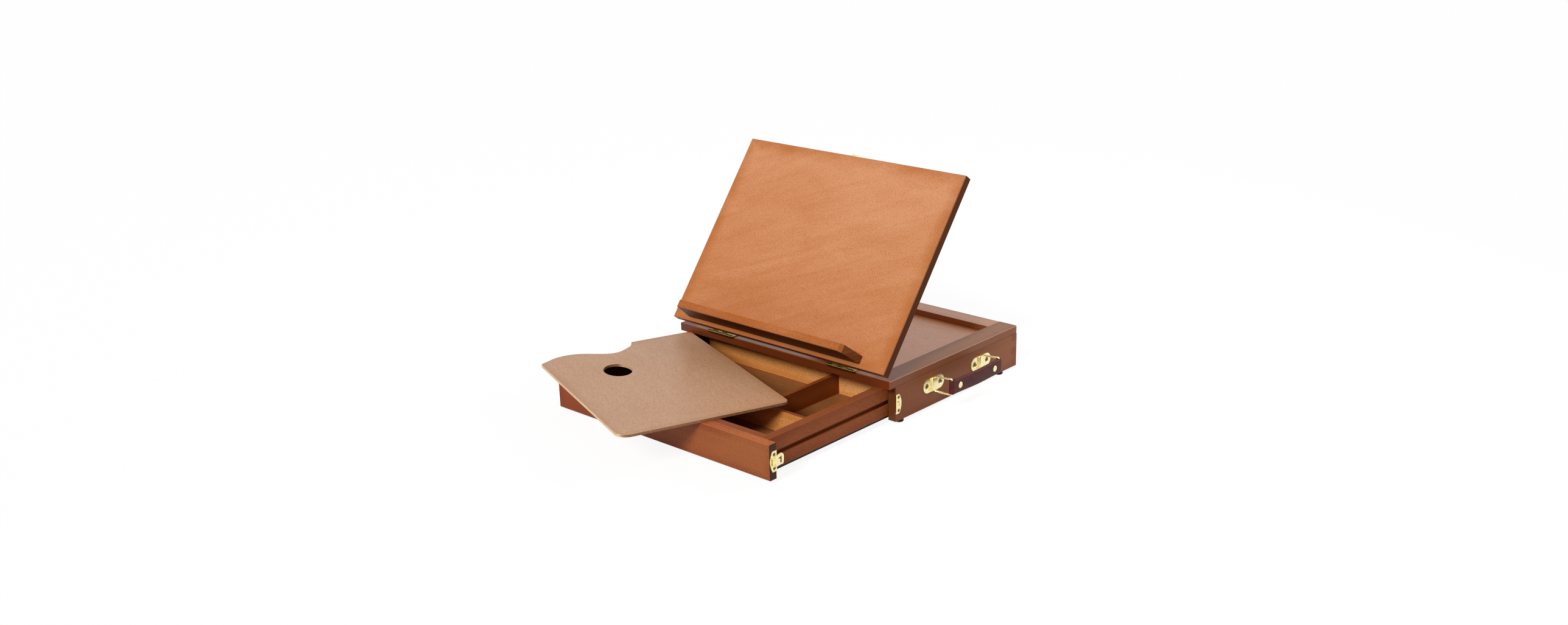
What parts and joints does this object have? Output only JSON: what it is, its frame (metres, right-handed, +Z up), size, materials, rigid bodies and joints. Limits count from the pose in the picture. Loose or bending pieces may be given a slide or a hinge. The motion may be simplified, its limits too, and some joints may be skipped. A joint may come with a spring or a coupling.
{
  "type": "tabletop pochade box",
  "caption": "Shallow wooden painting box with a compartmented drawer, a hinged drawing board with canvas ledge, a hand palette and a leather carrying handle.",
  "frame": {"origin": "on the bench, midway along the width and midway along the length of the opened box", "axes": "+Z up, +X along the width towards the carrying handle, -Y the way the drawer opens"},
  "size_m": [0.4051, 0.5409, 0.2684],
  "materials": {
    "case_wood": "satin varnish, dark brown",
    "frame_wood": "satin varnish, dark brown",
    "board_wood": "glossy varnish, orange-brown",
    "drawer_wood": "satin varnish, tan",
    "prop_wood": "satin varnish, brown",
    "plywood": "satin varnish over plywood, tan",
    "palette_wood": "satin varnish over plywood, pale rose-brown",
    "foot_wood": "near-black brown stain",
    "brass": "polished, pale gold",
    "steel": "plain drawn wire",
    "leather": "dark burgundy, semi-gloss"
  },
  "bodies": {
    "case": {"case_side_left": "case_wood", "case_side_right": "case_wood", "case_back": "case_wood", "top_rail_left": "frame_wood", "top_rail_right": "frame_wood", "top_rail_front": "frame_wood", "top_rail_back": "frame_wood", "recess_panel": "plywood", "drawer_runner_left": "drawer_wood", "drawer_runner_right": "drawer_wood", "prop_rack": "prop_wood", "feet": "foot_wood", "rail_brads": "brass", "strike_plate_left": "brass", "strike_plate_right": "brass", "strike_plate_lid": "brass", "handle_bracket_front": "brass", "handle_bracket_rear": "brass", "case_screws": "brass", "hinge_case_leaf_left": "brass", "hinge_case_leaf_right": "brass", "hinge_pin_left": "brass", "hinge_pin_right": "brass"},
    "board": {"easel_board": "board_wood", "canvas_ledge": "board_wood", "board_screws": "brass", "prop_ears": "prop_wood", "prop_pin": "steel", "lid_latch_plate": "brass", "lid_latch_pin": "brass", "hinge_board_leaf_left": "brass", "hinge_board_leaf_right": "brass"},
    "prop": {"prop_leaf": "prop_wood"},
    "lid_catch": {"lid_latch_leaf": "brass"},
    "drawer": {"drawer_front": "drawer_wood", "drawer_box_front": "drawer_wood", "drawer_side_left": "drawer_wood", "drawer_side_right": "drawer_wood", "drawer_back": "drawer_wood", "drawer_bottom": "plywood", "divider_cross": "drawer_wood", "divider_long": "drawer_wood", "drawer_latch_plate_left": "brass", "drawer_latch_plate_right": "brass", "drawer_latch_pins": "brass", "drawer_screws": "brass"},
    "drawer_catch_left": {"drawer_latch_leaf_left": "brass"},
    "drawer_catch_right": {"drawer_latch_leaf_right": "brass"},
    "bail_front": {"bail_front": "brass"},
    "bail_rear": {"bail_rear": "brass"},
    "strap": {"handle_strap": "leather", "strap_rivets": "brass"},
    "palette": {"palette": "palette_wood"}
  },
  "joints": [
    {"name": "board_tilt", "type": "hinge", "parent": "case", "child": "board", "pos_m": [0.0045, 0.0145, 0.0578], "axis": [1, 0, 0], "range_deg": [-52.7, 20]},
    {"name": "prop_swing", "type": "hinge", "parent": "board", "child": "prop", "pos_m": [0.0045, 0.0796, 0.1402], "axis": [1, 0, 0], "range_deg": [-40.5, 105.9]},
    {"name": "lid_catch_swing", "type": "hinge", "parent": "board", "child": "lid_catch", "pos_m": [0.0045, 0.16337, 0.26709], "axis": [1, 0, 0], "range_deg": [0, 150]},
    {"name": "drawer_slide", "type": "slide", "parent": "case", "child": "drawer", "axis": [0, -1, 0], "range_m": [-0.2018, 0.012]},
    {"name": "drawer_catch_left_swing", "type": "hinge", "parent": "drawer", "child": "drawer_catch_left", "pos_m": [-0.1667, -0.1807, 0.0253], "axis": [0, 0, 1], "range_deg": [0, 150]},
    {"name": "drawer_catch_right_swing", "type": "hinge", "parent": "drawer", "child": "drawer_catch_right", "pos_m": [0.1757, -0.1807, 0.0253], "axis": [0, 0, -1], "range_deg": [0, 150]},
    {"name": "handle_swing", "type": "hinge", "parent": "case", "child": "bail_front", "pos_m": [0.1757, 0.0982, 0.0302], "axis": [0, 0, 1], "range_deg": [-82, 61]},
    {"name": "rear_bail_swing", "type": "hinge", "parent": "case", "child": "bail_rear", "pos_m": [0.1757, 0.1922, 0.0302], "axis": [0, 0, 1], "range_deg": [-82.5, 61.5]},
    {"name": "strap_turn", "type": "hinge", "parent": "bail_front", "child": "strap", "pos_m": [0.19763, 0.10226, 0.0302], "axis": [0, 0, 1], "range_deg": [-61.5, 82.5]},
    {"name": "palette_slide", "type": "slide", "parent": "case", "child": "palette", "axis": [0, -1, 0], "range_m": [0, 0.12]}
  ],
  "couplings": [
    {"joint": "prop_swing", "follows": "board_tilt", "ratio": -2},
    {"joint": "rear_bail_swing", "follows": "handle_swing", "ratio": 1},
    {"joint": "strap_turn", "follows": "handle_swing", "ratio": -1}
  ]
}
